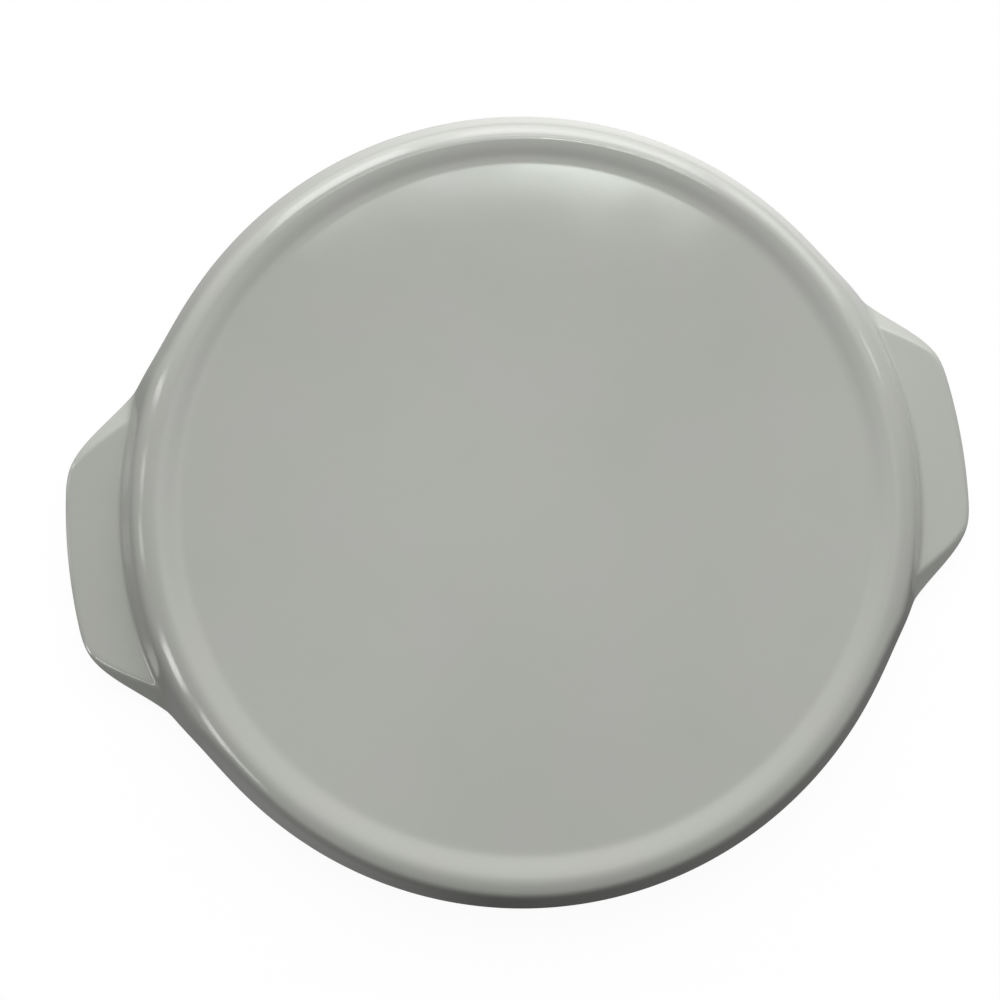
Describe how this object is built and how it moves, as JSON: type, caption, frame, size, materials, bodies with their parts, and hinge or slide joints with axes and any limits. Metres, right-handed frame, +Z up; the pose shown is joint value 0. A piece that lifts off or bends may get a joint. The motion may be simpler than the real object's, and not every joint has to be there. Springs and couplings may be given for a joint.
{
  "type": "microwave pizza crisper",
  "caption": "Round shallow browning plate of pressed glass-ceramic with a low rim, tab handles and moulded feet, and an absorbing film below that crisps a pizza base in a microwave.",
  "frame": {"origin": "on the surface that the feet stand on, below the middle of the plate", "axes": "+X through the middle of the two handles, +Z up out of the cooking floor"},
  "size_m": [0.3582, 0.311, 0.0256],
  "materials": {
    "glass_ceramic": "gloss",
    "tin_oxide_film": "satin"
  },
  "bodies": {
    "root": {"glass_ceramic_plate": "glass_ceramic", "tin_oxide_coating": "tin_oxide_film"}
  },
  "joints": []
}
